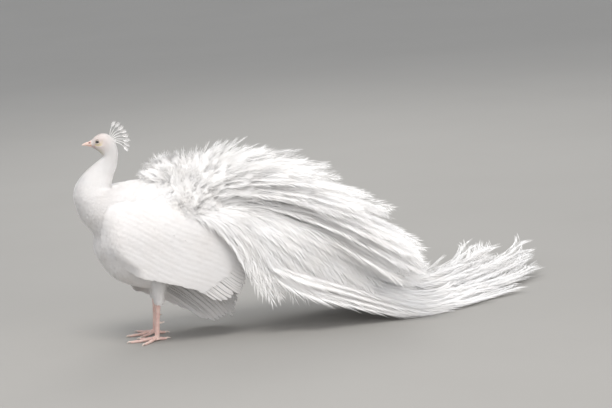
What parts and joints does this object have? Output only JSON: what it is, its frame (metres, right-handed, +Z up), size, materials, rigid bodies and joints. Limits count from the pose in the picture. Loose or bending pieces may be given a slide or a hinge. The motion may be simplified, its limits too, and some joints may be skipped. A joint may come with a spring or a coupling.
{
  "type": "white peacock",
  "caption": "Life-size white peacock standing on both feet, wings lowered, short back feathers raised and the long train trailing behind it on the floor.",
  "frame": {"origin": "centre of the bounding box, on the floor", "axes": "the bird faces -X and its train trails towards +X, its left side is -Y, +Z up"},
  "size_m": [1.6746, 0.848, 0.7106],
  "materials": {
    "plumage": "white feathers, matt with a soft sheen",
    "horn": "pale pinkish horn of the bill and claws, satin",
    "eye": "dark wet eye",
    "leg": "pink scaled skin of the shanks and feet"
  },
  "bodies": {
    "root": {"head": "plumage", "bill_upper": "horn", "bill_lower": "horn", "eye_left": "eye", "eye_right": "eye", "neck": "plumage", "neck_base": "plumage", "breast": "plumage", "torso": "plumage", "vent": "plumage", "train_left": "plumage", "train_right": "plumage", "train_long": "plumage", "tail": "plumage", "wing_left": "plumage", "wing_right": "plumage", "thigh_left": "plumage", "thigh_right": "plumage", "shank_left": "leg", "shank_right": "leg", "foot_left": "leg", "foot_right": "leg", "claw_left_inner": "horn", "claw_left_middle": "horn", "claw_left_outer": "horn", "claw_left_hind": "horn", "claw_right_inner": "horn", "claw_right_middle": "horn", "claw_right_outer": "horn", "claw_right_hind": "horn"}
  },
  "joints": []
}
